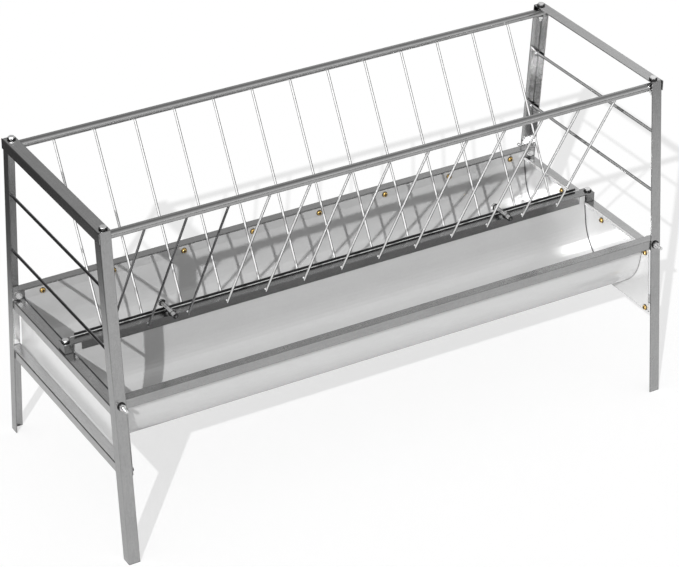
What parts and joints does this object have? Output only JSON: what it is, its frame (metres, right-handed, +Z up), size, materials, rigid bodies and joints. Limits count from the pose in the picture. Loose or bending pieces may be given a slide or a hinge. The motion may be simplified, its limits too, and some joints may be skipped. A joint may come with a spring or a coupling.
{
  "type": "hay feeder",
  "caption": "Free-standing double-sided hay and feed rack for goats: splayed angle-steel frame, V of hay rods on a centre rail, with a half-round feed trough along each side",
  "frame": {"origin": "on the floor, under the middle of the feeder", "axes": "X along the feeder, Y across it with the front at -Y, Z up; left and right are the -X and +X ends"},
  "size_m": [2.0056, 0.883, 1.1358],
  "materials": {
    "galvanised_steel": "hot-dip galvanised, satin",
    "galvanised_sheet": "galvanised sheet, semi-gloss",
    "bright_rod": "bright zinc-plated, glossy",
    "zinc_bolt": "zinc-plated"
  },
  "bodies": {
    "root": {"top_cross_left": "galvanised_steel", "mid_cross_left": "galvanised_steel", "lower_cross_left": "galvanised_steel", "end_plate_left": "galvanised_sheet", "clamp_bolt_left": "zinc_bolt", "guard_rod_lower_left": "bright_rod", "guard_rod_upper_left": "bright_rod", "leg_front_left": "galvanised_steel", "corner_bolt_front_left": "zinc_bolt", "rim_bolt_front_left": "zinc_bolt", "leg_back_left": "galvanised_steel", "corner_bolt_back_left": "zinc_bolt", "rim_bolt_back_left": "zinc_bolt", "top_cross_right": "galvanised_steel", "mid_cross_right": "galvanised_steel", "lower_cross_right": "galvanised_steel", "end_plate_right": "galvanised_sheet", "clamp_bolt_right": "zinc_bolt", "guard_rod_lower_right": "bright_rod", "guard_rod_upper_right": "bright_rod", "leg_front_right": "galvanised_steel", "corner_bolt_front_right": "zinc_bolt", "rim_bolt_front_right": "zinc_bolt", "leg_back_right": "galvanised_steel", "corner_bolt_back_right": "zinc_bolt", "rim_bolt_back_right": "zinc_bolt", "centre_rail": "galvanised_steel", "top_tube_front": "galvanised_steel", "rim_front": "galvanised_steel", "trough_front": "galvanised_sheet", "rack_rod_front_01": "bright_rod", "rack_rod_front_02": "bright_rod", "rack_rod_front_03": "bright_rod", "rack_rod_front_04": "bright_rod", "rack_rod_front_05": "bright_rod", "rack_rod_front_06": "bright_rod", "rack_rod_front_07": "bright_rod", "rack_rod_front_08": "bright_rod", "rack_rod_front_09": "bright_rod", "rack_rod_front_10": "bright_rod", "rack_rod_front_11": "bright_rod", "rack_rod_front_12": "bright_rod", "rack_rod_front_13": "bright_rod", "top_tube_back": "galvanised_steel", "rim_back": "galvanised_steel", "trough_back": "galvanised_sheet", "rack_rod_back_01": "bright_rod", "rack_rod_back_02": "bright_rod", "rack_rod_back_03": "bright_rod", "rack_rod_back_04": "bright_rod", "rack_rod_back_05": "bright_rod", "rack_rod_back_06": "bright_rod", "rack_rod_back_07": "bright_rod", "rack_rod_back_08": "bright_rod", "rack_rod_back_09": "bright_rod", "rack_rod_back_10": "bright_rod", "rack_rod_back_11": "bright_rod", "rack_rod_back_12": "bright_rod", "rack_rod_back_13": "bright_rod"}
  },
  "joints": []
}
